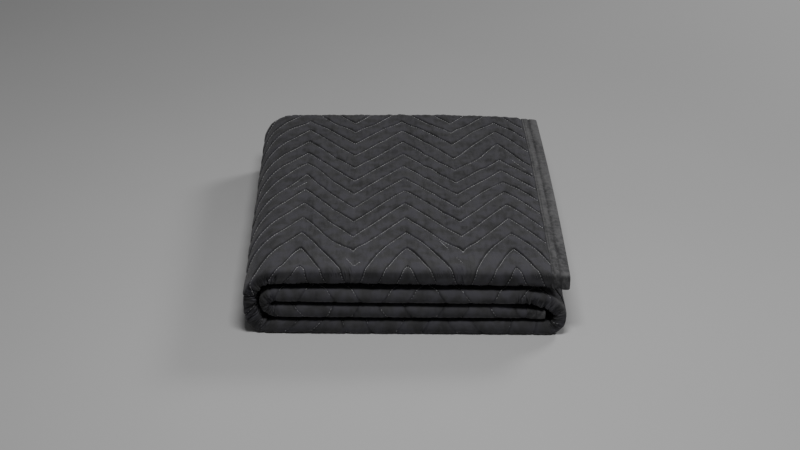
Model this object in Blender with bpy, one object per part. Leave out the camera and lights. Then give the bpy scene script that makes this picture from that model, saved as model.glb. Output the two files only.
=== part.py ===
"""Moving blanket, folded for the shelf.

A quilted cloth of about 1.8 by 2.0 m, bound with woven tape on its four edges. It is folded in
three across its width, like a letter, and the long strip that makes is turned over itself three
times, so it lies in four layers. Every layer holds three plies of cloth.

Frame: metres. +X runs along the strip, towards the bound end that lies on top. +Y runs along the
fold lines, away from the front. +Z is up. The origin is on the surface, under the middle.

How the solids are worked out:
- PATH is the strip's route in the XZ plane. Each station on it has a point on the strip's inner
  face and one on its outer face, and the strip's local thickness lies between the two.
- ply_pairs() is the strip's section. It follows one ply from its free back edge round the front
  fold, back round the rear fold, and in to its free edge inside the roll.
- Every piece is that section, or a part of it, swept along the route.
"""
import math
from collections import namedtuple

import bmesh
import bpy

# Driving dimensions, metres -----------------------------------------------------------------
PLY = 0.0078            # quilted cloth with its batting, one ply
PLY_GAP = 0.0008        # air between two plies
STRIP = 3 * PLY + 2 * PLY_GAP   # the letter-folded strip is this thick where nothing squeezes it
DEPTH = 0.612           # front fold to rear fold, in the top layer
TURNS_WIDTH = 0.515     # outside of the left turn to outside of the right turn
OVERHANG = 0.0050       # the top layer's bound end stands this far past the right turn
PILE_TOP = 0.115        # top of the four layers, at the crown

TAPE = 0.0012           # binding tape, one thickness with its turned-in hem
TAPE_WIDTH = 0.030      # how far the tape reaches in from an edge
SEAT = 0.0003           # gap between the tape and the cloth that it covers
COVERED = TAPE + SEAT   # cloth under the tape is pinched in by this much on each face
STEP = 0.0002           # length of the small step where the cloth goes in under the tape
BACK_EDGE_IN = 0.004    # the inner ply's free edge lies this far inside the rear fold
TUCK_EDGE_IN = 0.026    # the middle ply's free edge lies this far inside the front fold

TIP_SHARE = 0.45        # a free edge is blunt over this share of its half thickness
BEVEL_SHARE = 0.80      # and its bevel runs in by this share of it
TAPE_ROUNDING = 0.0015  # the end bindings' faces are rounded off by this much

FRONT_ARC_STEPS = 8     # facets round the front fold
REAR_ARC_STEPS = 5      # facets round the rear fold
FRONT_SHAPING = (0.62, 1.0)     # where the plies bend as the front fold's pressing fades out
INNER_TURN_STEPS = 5    # facets in each quarter of a turn
RIGHT_TURN_STEPS = 6
LEFT_TURN_STEPS = 7
STATIONS_APART = 0.002  # a piece's own end replaces any station this near to it

QUILT_COLOUR = (0.045, 0.045, 0.049)
QUILT_ROUGHNESS = 0.95
TAPE_COLOUR = (0.075, 0.074, 0.077)
TAPE_ROUGHNESS = 0.85

MIDDLE_X = OVERHANG / 2.0   # the turns are placed from their own middle; the whole box's is here

# The route of the strip ---------------------------------------------------------------------
# The height of each face of a layer: inner faces the heart of the roll, outer faces away from it.
Layer = namedtuple("Layer", "inner outer")
THIRD = Layer(inner=0.0540, outer=0.0290)
SECOND = Layer(inner=0.0560, outer=0.0810)
BOTTOM = Layer(inner=STRIP, outer=0.0)
TOP = Layer(inner=0.0896, outer=0.1146)

# A turn has, for each face, the x of its side, the heights between which that side is upright,
# and how far back from the side the face leaves one layer and joins the next.
Turn = namedtuple("Turn", "enters leaves outer_x outer_z outer_reach inner_x inner_z inner_reach")
INNER_TURN = Turn(
    enters=THIRD, leaves=SECOND,
    outer_x=-0.2325, outer_z=(0.0550, 0.0555), outer_reach=(0.032, 0.024),
    inner_x=-0.2112, inner_z=(0.0549, 0.0551), inner_reach=(0.005, 0.005))
RIGHT_TURN = Turn(
    enters=SECOND, leaves=BOTTOM,
    outer_x=TURNS_WIDTH / 2 + 0.0008, outer_z=(0.0350, 0.0330), outer_reach=(0.084, 0.020),
    inner_x=0.2371, inner_z=(0.0300, 0.0290), inner_reach=(0.060, 0.010))
LEFT_TURN = Turn(
    enters=BOTTOM, leaves=TOP,
    outer_x=-TURNS_WIDTH / 2, outer_z=(0.0450, 0.0600), outer_reach=(0.030, 0.062),
    inner_x=-0.2355, inner_z=(0.0520, 0.0580), inner_reach=(0.022, 0.028))

# The two flat runs that change height: drop is how much lower the strip lies at its rear fold.
Sag = namedtuple("Sag", "x inner outer drop")
THIRD_RUN = (
    Sag(x=0.2235, inner=0.0450, outer=0.0286, drop=0.0000),
    Sag(x=0.1945, inner=0.0485, outer=0.0287, drop=0.0002),
    Sag(x=0.1500, inner=0.0535, outer=0.0290, drop=0.0006),
    Sag(x=0.0200, inner=0.0540, outer=0.0293, drop=0.0008),
)
TOP_RUN = (
    Sag(x=-0.1200, inner=0.0896, outer=0.1146, drop=0.0004),
    Sag(x=0.0200, inner=0.0900, outer=PILE_TOP, drop=0.0000),
    Sag(x=0.1300, inner=0.0898, outer=PILE_TOP, drop=0.0000),
    Sag(x=0.2000, inner=0.0876, outer=0.1130, drop=0.0002),
    Sag(x=0.2345, inner=0.0838, outer=0.1092, drop=0.0000),
    Sag(x=TURNS_WIDTH / 2 + OVERHANG, inner=0.0812, outer=0.1064, drop=0.0002),
)

# The two long folds at shares of the strip's length: how far in from the full depth each lies, how
# far the layer is pressed in on its outer side at the front fold, how much fuller it is there on its
# inner side, over what width, and how square the fold is, as what is added to a circle's power of 2.
# The rows are: the bound end inside, its run, the inner turn, the second layer and its far part, the
# right turn, the bottom layer, the left turn, then the top layer and its bound end.
Wander = namedtuple("Wander", "where front rear pressed fuller over square")
FOLD_LINES = (
    Wander(where=0.00, front=0.0020, rear=0.0060, pressed=0.0, fuller=0.0, over=0.034, square=0.6),
    Wander(where=0.10, front=0.0007, rear=0.0030, pressed=0.0, fuller=0.0, over=0.034, square=0.8),
    Wander(where=0.225, front=0.0010, rear=0.0045, pressed=0.0, fuller=0.0, over=0.034, square=0.8),
    Wander(where=0.33, front=0.0008, rear=0.0040, pressed=0.0040, fuller=0.0, over=0.035, square=0.9),
    Wander(where=0.41, front=0.0000, rear=0.0030, pressed=0.0035, fuller=0.0, over=0.035, square=0.9),
    Wander(where=0.47, front=0.0002, rear=0.0020, pressed=0.0, fuller=0.0, over=0.034, square=0.8),
    Wander(where=0.60, front=0.0012, rear=0.0030, pressed=0.0, fuller=0.0, over=0.034, square=0.8),
    Wander(where=0.745, front=0.0024, rear=0.0030, pressed=0.0, fuller=0.0, over=0.036, square=0.8),
    Wander(where=0.83, front=0.0042, rear=0.0006, pressed=0.0004, fuller=0.0006, over=0.036, square=0.9),
    Wander(where=0.90, front=0.0045, rear=0.0000, pressed=0.0014, fuller=0.0036, over=0.036, square=0.9),
    Wander(where=0.95, front=0.0045, rear=0.0000, pressed=0.0036, fuller=0.0030, over=0.036, square=1.2),
    Wander(where=0.985, front=0.0050, rear=0.0010, pressed=0.0010, fuller=0.0, over=0.036, square=7.0),
    Wander(where=1.00, front=0.0050, rear=0.0020, pressed=0.0, fuller=0.0, over=0.036, square=7.0),
)

Station = namedtuple("Station", "inner outer drop")
Frame = namedtuple("Frame", "inner outer drop front rear fold")
Pair = namedtuple("Pair", "left right")


def quarter(start, end, level_first, steps):
    """Points after start on a quarter ellipse, which leaves level and arrives upright or the reverse."""
    points = []
    for step in range(1, steps + 1):
        angle = 0.5 * math.pi * step / steps
        rise, fall = math.sin(angle), math.cos(angle)
        if level_first:
            x = start[0] + (end[0] - start[0]) * rise
            z = end[1] + (start[1] - end[1]) * fall
        else:
            x = end[0] + (start[0] - end[0]) * fall
            z = start[1] + (end[1] - start[1]) * rise
        points.append((x, z))
    return points


def turn_face(side_x, upright, reach, z_in, z_out, steps):
    """One face of a turn: in from a layer, down or up the side, and out to the next layer."""
    inward = -math.copysign(1.0, side_x)
    first = (side_x + inward * reach[0], z_in)
    last = (side_x + inward * reach[1], z_out)
    side_in, side_out = (side_x, upright[0]), (side_x, upright[1])
    points = [first]
    points += quarter(first, side_in, True, steps)
    points += [side_out]
    points += quarter(side_out, last, False, steps)
    return points


def turn_stations(turn, steps):
    outer = turn_face(turn.outer_x, turn.outer_z, turn.outer_reach,
                      turn.enters.outer, turn.leaves.outer, steps)
    inner = turn_face(turn.inner_x, turn.inner_z, turn.inner_reach,
                      turn.enters.inner, turn.leaves.inner, steps)
    return [Station(i, o, 0.0) for i, o in zip(inner, outer)]


def run_stations(rows):
    return [Station((row.x, row.inner), (row.x, row.outer), row.drop) for row in rows]


def level_station(x, layer):
    return Station((x, layer.inner), (x, layer.outer), 0.0)


def middle(station):
    return [0.5 * (a + b) for a, b in zip(station.inner, station.outer)]


PATH = (
    run_stations(THIRD_RUN)
    + turn_stations(INNER_TURN, INNER_TURN_STEPS)
    + [level_station(0.0, SECOND)]
    + turn_stations(RIGHT_TURN, RIGHT_TURN_STEPS)
    + [level_station(0.0, BOTTOM)]
    + turn_stations(LEFT_TURN, LEFT_TURN_STEPS)
    + run_stations(TOP_RUN)
)

LENGTHS = [0.0]
for before, after in zip(PATH, PATH[1:]):
    LENGTHS.append(LENGTHS[-1] + math.dist(middle(before), middle(after)))
STRIP_LENGTH = LENGTHS[-1]


def mix(a, b, share):
    if isinstance(a, tuple):
        return tuple(mix(p, q, share) for p, q in zip(a, b))
    return a + (b - a) * share


def smooth_step(share):
    share = min(max(share, 0.0), 1.0)
    return share * share * (3.0 - 2.0 * share)


def fold_lines(where):
    """The row of FOLD_LINES for a share of the strip's length, eased between the rows given."""
    for low, high in zip(FOLD_LINES, FOLD_LINES[1:]):
        if where <= high.where:
            return Wander(*mix(low, high, smooth_step((where - low.where) / (high.where - low.where))))
    return FOLD_LINES[-1]


def frame_at(length):
    """The strip's cross frame at a length along its route from the inner bound end."""
    index = 0
    while index < len(PATH) - 2 and length > LENGTHS[index + 1]:
        index += 1
    share = (length - LENGTHS[index]) / (LENGTHS[index + 1] - LENGTHS[index])
    a, b = PATH[index], PATH[index + 1]
    fold = fold_lines(length / STRIP_LENGTH)
    return Frame(mix(a.inner, b.inner, share), mix(a.outer, b.outer, share), mix(a.drop, b.drop, share),
                 -DEPTH / 2 + fold.front, DEPTH / 2 - fold.rear, fold)


def lengths_between(start, end):
    """Both ends of a stretch, and every station of the route between them."""
    first, last = start + STATIONS_APART, end - STATIONS_APART
    inside = [length for length in LENGTHS if first < length < last]
    return [start] + inside + [end]


# The section --------------------------------------------------------------------------------
def edge_bevel(half, inset):
    """A free edge's bevel, moved in by inset: half its blunt tip, and how far in the bevel ends."""
    tip, run = TIP_SHARE * half, BEVEL_SHARE * half
    slope = math.atan2(half - tip, run)
    tip_half = tip - inset * (1.0 - math.sin(slope)) / math.cos(slope)
    return tip_half, run + inset * (1.0 - math.cos(slope)) / math.sin(slope)


def ply_pairs(frame, body_in, edge_in):
    """The strip's section, as pairs of points on the two faces of its one ply.

    A point is (y, n): n runs from the strip's inner face to its outer face. The faces lie
    body_in inside the full ply, or edge_in inside it within a tape's width of a free edge.
    """
    thickness = math.dist(frame.inner, frame.outer)
    scale = thickness / STRIP
    ply, gap = PLY * scale, PLY_GAP * scale
    half_body, half_edge = ply / 2 - body_in, ply / 2 - edge_in
    tip_half, bevel = edge_bevel(ply / 2, edge_in)
    inner_n, tucked_n, outer_n = ply / 2, 1.5 * ply + gap, 2.5 * ply + 2 * gap
    front_middle, front_radius = frame.front + thickness / 2, (outer_n - inner_n) / 2
    rear_radius = (outer_n - tucked_n) / 2
    rear_middle = frame.rear - rear_radius - ply / 2
    back_edge, tuck_edge = frame.rear - BACK_EDGE_IN, frame.front + TUCK_EDGE_IN

    def flat(y, n, half):
        return Pair((y, n - half), (y, n + half))

    def bent(y, n, radius, angle, half, square=0.0):
        power = 2.0 + square
        along, up = math.cos(angle), math.sin(angle)
        reach = (abs(along) ** power + abs(up) ** power) ** (-1.0 / power)
        out, into = (radius + half) * reach, (radius - half) * reach
        return Pair((y + out * along, n + out * up), (y + into * along, n + into * up))

    pairs = [
        flat(back_edge - edge_in, inner_n, tip_half),
        flat(back_edge - bevel, inner_n, half_edge),
        flat(back_edge - TAPE_WIDTH - SEAT, inner_n, half_edge),
        flat(back_edge - TAPE_WIDTH - SEAT - STEP, inner_n, half_body),
    ]
    shaped = [-DEPTH / 2 + share * frame.fold.over for share in FRONT_SHAPING]
    pairs += [flat(y, inner_n, half_body) for y in reversed(shaped)]
    for step in range(FRONT_ARC_STEPS + 1):
        angle = -math.pi / 2 - math.pi * step / FRONT_ARC_STEPS
        pairs.append(bent(front_middle, (inner_n + outer_n) / 2, front_radius, angle, half_body,
                          frame.fold.square))
    pairs += [Pair(*reversed(flat(y, outer_n, half_body))) for y in shaped]
    for step in range(REAR_ARC_STEPS + 1):
        angle = math.pi / 2 - math.pi * step / REAR_ARC_STEPS
        pairs.append(bent(rear_middle, (tucked_n + outer_n) / 2, rear_radius, angle, half_body))
    pairs += [
        flat(tuck_edge + TAPE_WIDTH + SEAT + STEP, tucked_n, half_body),
        flat(tuck_edge + TAPE_WIDTH + SEAT, tucked_n, half_edge),
        flat(tuck_edge + bevel, tucked_n, half_edge),
        flat(tuck_edge + edge_in, tucked_n, tip_half),
    ]
    return pairs


def tape_pairs(frame, tucked):
    """A U of tape round one free edge of the ply, as pairs of its outside and its inside."""
    scale = math.dist(frame.inner, frame.outer) / STRIP
    ply, gap = PLY * scale, PLY_GAP * scale
    if tucked:
        edge, inward, n = frame.front + TUCK_EDGE_IN, 1.0, 1.5 * ply + gap
    else:
        edge, inward, n = frame.rear - BACK_EDGE_IN, -1.0, ply / 2
    outside, inside = ply / 2, ply / 2 - TAPE
    tip_out, bevel_out = edge_bevel(ply / 2, 0.0)
    tip_in, bevel_in = edge_bevel(ply / 2, TAPE)

    def at(from_edge, height):
        return (edge + inward * from_edge, n + inward * height)

    return [
        Pair(at(TAPE_WIDTH, outside), at(TAPE_WIDTH, inside)),
        Pair(at(bevel_out, outside), at(bevel_in, inside)),
        Pair(at(0.0, tip_out), at(TAPE, tip_in)),
        Pair(at(0.0, -tip_out), at(TAPE, -tip_in)),
        Pair(at(bevel_out, -outside), at(bevel_in, -inside)),
        Pair(at(TAPE_WIDTH, -outside), at(TAPE_WIDTH, -inside)),
    ]


# Solids -------------------------------------------------------------------------------------
def place(frame, point):
    """A section point in the world."""
    y, n = point
    thickness = math.dist(frame.inner, frame.outer)
    share = n / thickness
    at_front = smooth_step(1.0 - (y + DEPTH / 2) / frame.fold.over) / thickness
    inward, outward = frame.fold.pressed * at_front, frame.fold.fuller * at_front
    share = share * (1.0 - inward) - (1.0 - share) * outward
    x, z = mix(frame.inner, frame.outer, share)
    rearward = (y + DEPTH / 2) / DEPTH
    return (x - MIDDLE_X, y, z - frame.drop * rearward)


def add_ring(bm, frame, pairs):
    """The closed outline of a strip of pairs: out along its left face, home along its right."""
    outline = [pair.left for pair in pairs] + [pair.right for pair in reversed(pairs)]
    return [bm.verts.new(place(frame, point)) for point in outline]


def join_rings(bm, first, second):
    count = len(first)
    for k in range(count):
        bm.faces.new((first[k], first[(k + 1) % count], second[(k + 1) % count], second[k]))


def close_ring(bm, ring):
    """Close an outline of pairs across the ply, with one face between two neighbouring pairs."""
    count = len(ring)
    for k in range(count // 2 - 1):
        bm.faces.new((ring[k], ring[k + 1], ring[count - 2 - k], ring[count - 1 - k]))


def finish(name, bm, colour, roughness):
    bmesh.ops.recalc_face_normals(bm, faces=bm.faces)
    bmesh.ops.triangulate(bm, faces=bm.faces)
    mesh = bpy.data.meshes.new(name)
    bm.to_mesh(mesh)
    bm.free()
    mesh.shade_smooth()
    mesh.set_sharp_from_angle(angle=math.radians(50))
    material = bpy.data.materials.new(name + "_cloth")
    material.use_nodes = True
    shader = material.node_tree.nodes["Principled BSDF"]
    shader.inputs["Base Color"].default_value = (*colour, 1.0)
    shader.inputs["Roughness"].default_value = roughness
    shader.inputs["Metallic"].default_value = 0.0
    mesh.materials.append(material)
    piece = bpy.data.objects.new(name, mesh)
    bpy.context.scene.collection.objects.link(piece)
    return piece


def sweep(name, sections, colour, roughness):
    """A solid through a list of (frame, pairs), closed at both ends."""
    bm = bmesh.new()
    rings = [add_ring(bm, frame, pairs) for frame, pairs in sections]
    for first, second in zip(rings, rings[1:]):
        join_rings(bm, first, second)
    close_ring(bm, rings[0])
    close_ring(bm, rings[-1])
    return finish(name, bm, colour, roughness)


def build_quilt():
    """The quilted cloth: one solid, pinched in where tape covers it."""
    tape_in, tape_out = TAPE_WIDTH + SEAT, STRIP_LENGTH - TAPE_WIDTH - SEAT
    sections = []
    for length in (COVERED, tape_in):
        frame = frame_at(length)
        sections.append((frame, ply_pairs(frame, COVERED, COVERED)))
    for length in lengths_between(tape_in + STEP, tape_out - STEP):
        frame = frame_at(length)
        sections.append((frame, ply_pairs(frame, 0.0, COVERED)))
    for length in (tape_out, STRIP_LENGTH - COVERED):
        frame = frame_at(length)
        sections.append((frame, ply_pairs(frame, COVERED, COVERED)))
    return sweep("quilt", sections, QUILT_COLOUR, QUILT_ROUGHNESS)


def build_end_binding(name, end, inward):
    """Tape folded over one end of the cloth, so it follows the letter fold: a sleeve with an end."""
    bm = bmesh.new()
    outside, inside = [], []
    for reach, pinch in ((0.0, TAPE_ROUNDING), (TAPE_ROUNDING, 0.0), (TAPE_WIDTH, 0.0)):
        frame = frame_at(end + inward * reach)
        outside.append(add_ring(bm, frame, ply_pairs(frame, pinch, pinch)))
    for reach in (TAPE_WIDTH, TAPE):
        frame = frame_at(end + inward * reach)
        inside.append(add_ring(bm, frame, ply_pairs(frame, TAPE, TAPE)))
    rings = outside + inside
    for first, second in zip(rings, rings[1:]):
        join_rings(bm, first, second)
    close_ring(bm, rings[0])
    close_ring(bm, rings[-1])
    return finish(name, bm, TAPE_COLOUR, TAPE_ROUGHNESS)


def build_side_binding(name, tucked):
    """Tape folded over one long edge of the cloth, from one end binding to the other."""
    start, end = TAPE_WIDTH + SEAT, STRIP_LENGTH - TAPE_WIDTH - SEAT
    sections = []
    for length in lengths_between(start, end):
        frame = frame_at(length)
        sections.append((frame, tape_pairs(frame, tucked)))
    return sweep(name, sections, TAPE_COLOUR, TAPE_ROUGHNESS)


def clear_scene():
    for item in list(bpy.data.objects):
        bpy.data.objects.remove(item, do_unlink=True)


def main():
    clear_scene()
    build_quilt()
    build_end_binding("end_binding_top", STRIP_LENGTH, -1.0)
    build_end_binding("end_binding_inside", 0.0, 1.0)
    build_side_binding("side_binding_rear", tucked=False)
    build_side_binding("side_binding_tucked", tucked=True)


main()
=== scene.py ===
# %% [markdown]
# # A moving blanket, folded for the shelf
# A moving blanket is two face cloths with batting between them, quilted through in zigzag rows and
# bound with tape. This one is folded in three across its width, like a letter, and the strip that
# makes is turned over itself three times. The frame's solids have the folded form and the true
# sizes. This script makes the puffed channels, the stitches, the tape and the finishes.

import math
from collections import namedtuple
from types import SimpleNamespace

import bmesh
import bpy
import numpy as np
from mathutils import Matrix, Vector


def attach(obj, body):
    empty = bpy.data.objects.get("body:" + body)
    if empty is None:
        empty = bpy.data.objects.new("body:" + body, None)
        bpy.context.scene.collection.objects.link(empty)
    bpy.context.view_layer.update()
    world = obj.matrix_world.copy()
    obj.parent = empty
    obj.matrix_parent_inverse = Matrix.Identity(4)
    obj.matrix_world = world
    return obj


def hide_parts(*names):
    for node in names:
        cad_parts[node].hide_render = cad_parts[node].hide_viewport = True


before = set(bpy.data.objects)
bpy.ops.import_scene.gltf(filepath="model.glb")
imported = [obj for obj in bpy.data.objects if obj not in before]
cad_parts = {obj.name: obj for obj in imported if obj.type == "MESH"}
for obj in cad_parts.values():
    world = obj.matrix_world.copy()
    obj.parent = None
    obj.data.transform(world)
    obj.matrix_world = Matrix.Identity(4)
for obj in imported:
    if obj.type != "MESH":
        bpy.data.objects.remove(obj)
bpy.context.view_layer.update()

# %% [markdown]
# ## The route of the strip
# Seen from the front the strip is a flat spiral. A curve with a bevel could follow that, but it
# would be equally thick everywhere. Two lines say more: one for the face that looks to the heart of
# the roll and one for the face that looks away.

# %% Sizes of the cloth and the route
PLY = 0.0078  # one ply at its crown, with the batting
PLY_GAP = 0.0008
STRIP = 3 * PLY + 2 * PLY_GAP  # the letter fold holds three plies
DEPTH = 0.612  # front fold to rear fold
TURNS_WIDTH = 0.515
OVERHANG = 0.005  # the bound end on top stands past the right turn
MIDDLE_X = OVERHANG / 2
BACK_EDGE_IN = 0.004  # the inner ply's free edge, in from the rear fold
TUCK_EDGE_IN = 0.026  # the middle ply's free edge, in from the front fold

# The heights of each layer's inner and outer face.
BOTTOM, SECOND, THIRD, TOP = (STRIP, 0.0), (0.056, 0.081), (0.054, 0.029), (0.0896, 0.1146)

# A turn's inner and outer face: how far out it goes, the heights it is upright between, and how far
# in from there it leaves the layer it comes from and meets the layer it goes to.
Face = namedtuple("Face", "x upright reach")
INNER_TURN = (THIRD, SECOND, Face(-0.2112, (0.0549, 0.0551), (0.005, 0.005)),
              Face(-0.2325, (0.055, 0.0555), (0.032, 0.024)))
RIGHT_TURN = (SECOND, BOTTOM, Face(0.2371, (0.03, 0.029), (0.06, 0.01)),
              Face(TURNS_WIDTH / 2 + 0.0008, (0.035, 0.033), (0.084, 0.02)))
LEFT_TURN = (BOTTOM, TOP, Face(-0.2355, (0.052, 0.058), (0.022, 0.028)),
             Face(-TURNS_WIDTH / 2, (0.045, 0.06), (0.03, 0.062)))

# Flat runs that change height: x, inner, outer, and how much lower the rear fold lies.
THIRD_RUN = (
    (0.2235, 0.045, 0.0286, 0.0),
    (0.1945, 0.0485, 0.0287, 0.0002),
    (0.15, 0.0535, 0.029, 0.0006),
    (0.02, 0.054, 0.0293, 0.0008),
)
TOP_RUN = (
    (-0.12, 0.0896, 0.1146, 0.0004),
    (0.02, 0.09, 0.115, 0.0),
    (0.13, 0.0898, 0.115, 0.0),
    (0.2, 0.0876, 0.113, 0.0002),
    (0.2345, 0.0838, 0.1092, 0.0),
    (TURNS_WIDTH / 2 + OVERHANG, 0.0812, 0.1064, 0.0002),
)

# The two long folds, at shares of the strip's length: how far in the front and the rear fold lie,
# how far the layer is pressed in on its outer side at the front, how much fuller it is there on its
# inner side, over what width, and how square the fold is, added to a circle's power of 2.
FOLD_LINES = np.array((
    (0.0, 0.002, 0.006, 0.0, -0.0016, 0.034, 1.6),
    (0.1, 0.0007, 0.003, 0.0, -0.0024, 0.034, 1.6),
    (0.225, 0.001, 0.0045, 0.0, -0.0014, 0.034, 1.4),
    (0.33, 0.0008, 0.004, 0.004, 0.0, 0.035, 1.4),
    (0.41, 0.0, 0.003, 0.0035, 0.0, 0.035, 1.4),
    (0.47, 0.0002, 0.002, 0.0, 0.0, 0.034, 2.0),
    (0.6, 0.0012, 0.003, 0.0, 0.0, 0.034, 3.0),
    (0.745, 0.0024, 0.003, 0.0, 0.0, 0.036, 3.0),
    (0.83, 0.0042, 0.0006, 0.0004, 0.0006, 0.036, 4.5),
    (0.9, 0.0045, 0.0, 0.0014, 0.0036, 0.036, 4.5),
    (0.95, 0.0045, 0.0, 0.0036, 0.003, 0.036, 4.5),
    (0.985, 0.005, 0.001, 0.001, 0.0, 0.036, 7.0),
    (1.0, 0.005, 0.002, 0.0, 0.0, 0.036, 7.0),
))
END_BOW, END_BOW_RUN = 0.003, 0.08  # the bound end falls back this much at its two corners
FRONT_LEAN = 0.005  # on top the front fold leans out this much over the layer below
LEAN_WIDTH = 0.03  # over this width,
LEAN_FADE_IN = 0.08  # from this far along the top
LEAN_FADE_OUT = (0.1, 0.05)  # to this far before the bound end


# %% Walk the route
QUARTER_STEPS = 24
ROUTE_STEP = 0.001
SOFTNESS = 0.004  # the joins between flats and turns are eased over this length


def rise(value, low, high):
    """0 below low, 1 above high, eased between."""
    share = np.clip((value - low) / (high - low), 0.0, 1.0)
    return share * share * (3.0 - 2.0 * share)


def fall(value, low, high):
    """1 below low, 0 above high, eased between."""
    return rise(-value, -high, -low)


def quarter(start, end, level_first):
    """Points after start on a quarter ellipse that leaves level and arrives upright, or reversed."""
    angle = 0.5 * math.pi * np.arange(1, QUARTER_STEPS + 1) / QUARTER_STEPS
    sine, cosine = np.sin(angle), np.cos(angle)
    (x0, z0), (x1, z1) = start, end
    if level_first:
        return np.stack([x0 + (x1 - x0) * sine, z1 + (z0 - z1) * cosine], 1)
    return np.stack([x1 + (x0 - x1) * cosine, z0 + (z1 - z0) * sine], 1)


def turn_face(face, z_in, z_out):
    """One face of a turn: in from a layer, up or down the side, and out to the next layer."""
    inward = -math.copysign(1.0, face.x)
    first = (face.x + inward * face.reach[0], z_in)
    last = (face.x + inward * face.reach[1], z_out)
    side_in, side_out = ((face.x, z) for z in face.upright)
    return np.vstack([[first], quarter(first, side_in, True), [side_out],
                      quarter(side_out, last, False)])


# All rows of the route hold inner x, inner z, outer x, outer z and drop.
def turn_rows(enters, leaves, inner, outer):
    inner_rows = turn_face(inner, enters[0], leaves[0])
    outer_rows = turn_face(outer, enters[1], leaves[1])
    return np.hstack([inner_rows, outer_rows, np.zeros((len(inner_rows), 1))])


def run_rows(run):
    return np.array([[x, inner, x, outer, drop] for x, inner, outer, drop in run])


def ease(column):
    """A column of the route smoothed by a bell, its two ends kept in place."""
    half = int(3 * SOFTNESS / ROUTE_STEP)
    bell = np.exp(-0.5 * (np.arange(-half, half + 1) * ROUTE_STEP / SOFTNESS) ** 2)
    padded = np.pad(column, half, mode="reflect", reflect_type="odd")
    return np.convolve(padded, bell / bell.sum(), mode="valid")


stretches = [
    run_rows(THIRD_RUN), turn_rows(*INNER_TURN),
    run_rows([(0.0, *SECOND, 0.0)]), turn_rows(*RIGHT_TURN),
    run_rows([(0.0, *BOTTOM, 0.0)]), turn_rows(*LEFT_TURN), run_rows(TOP_RUN)]
stations = np.vstack(stretches)
middle_line = 0.5 * (stations[:, 0:2] + stations[:, 2:4])
station_length = np.append(0.0, np.cumsum(np.hypot(*np.diff(middle_line, axis=0).T)))
LENGTH = station_length[-1]

# Where each turn begins and ends. The strip is in plain sight from the left turn on.
stretch_ends = np.cumsum([len(rows) for rows in stretches])
TURN_SPANS = [(station_length[first], station_length[end - 1])
              for first, end in zip(stretch_ends[0::2], stretch_ends[1::2])]
(RIGHT_START, RIGHT_END), (LEFT_START, LEFT_END) = TURN_SPANS[1:]

ROUTE_S = np.linspace(0.0, LENGTH, int(LENGTH / ROUTE_STEP) + 1)
FACE_NAMES = ("inner_x", "inner_z", "outer_x", "outer_z", "drop")
FOLD_NAMES = ("front_in", "rear_in", "pressed", "fuller", "press_over", "square")
ROUTE = {name: ease(np.interp(ROUTE_S, station_length, column))
         for name, column in zip(FACE_NAMES, stations.T)}
where = ROUTE_S / LENGTH
line = np.clip(np.searchsorted(FOLD_LINES[:, 0], where) - 1, 0, len(FOLD_LINES) - 2)
low, high = FOLD_LINES[line], FOLD_LINES[line + 1]
share = rise(where, low[:, 0], high[:, 0])[:, None]
ROUTE.update(zip(FOLD_NAMES, (low + (high - low) * share)[:, 1:].T))
print(f"strip {LENGTH:.4f} m long; turns at", [tuple(round(v, 3) for v in t) for t in TURN_SPANS])

# %% [markdown]
# ## The letter fold
# Across the strip, one ply runs from its free edge at the back to the front fold, over the top to
# the rear fold, and back inside. A place on the flat cloth is s along the strip and v across it,
# with v = 0 on the front fold. One function takes it, with a height over the ply's middle, to the
# pile. Cloth, stitches and tape all use it, so they can't drift apart.

# %% From the flat cloth to the pile
def marks_at(s):
    """Where the parts of the letter fold begin, at lengths s along the strip."""
    m = SimpleNamespace(**{name: np.interp(s, ROUTE_S, column) for name, column in ROUTE.items()})
    m.thick = np.hypot(m.outer_x - m.inner_x, m.outer_z - m.inner_z)
    m.scale = m.thick / STRIP
    ply, gap = PLY * m.scale, PLY_GAP * m.scale
    m.n_inner, m.n_tucked, m.n_outer = ply / 2, 1.5 * ply + gap, 2.5 * ply + 2 * gap
    m.front_radius, m.rear_radius = (m.n_outer - m.n_inner) / 2, (m.n_outer - m.n_tucked) / 2
    front, rear = -DEPTH / 2 + m.front_in, DEPTH / 2 - m.rear_in
    m.y_front, m.y_rear = front + m.thick / 2, rear - m.rear_radius - ply / 2
    m.over = math.pi * m.front_radius / 2  # v where the outer ply begins
    m.back = m.over + m.y_rear - m.y_front  # v where the rear fold begins
    m.under = m.back + math.pi * m.rear_radius  # v where the tucked ply begins
    m.low_edge = -m.over - (rear - BACK_EDGE_IN - m.y_front)
    m.high_edge = m.under + m.y_rear - (front + TUCK_EDGE_IN)
    return m


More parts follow.
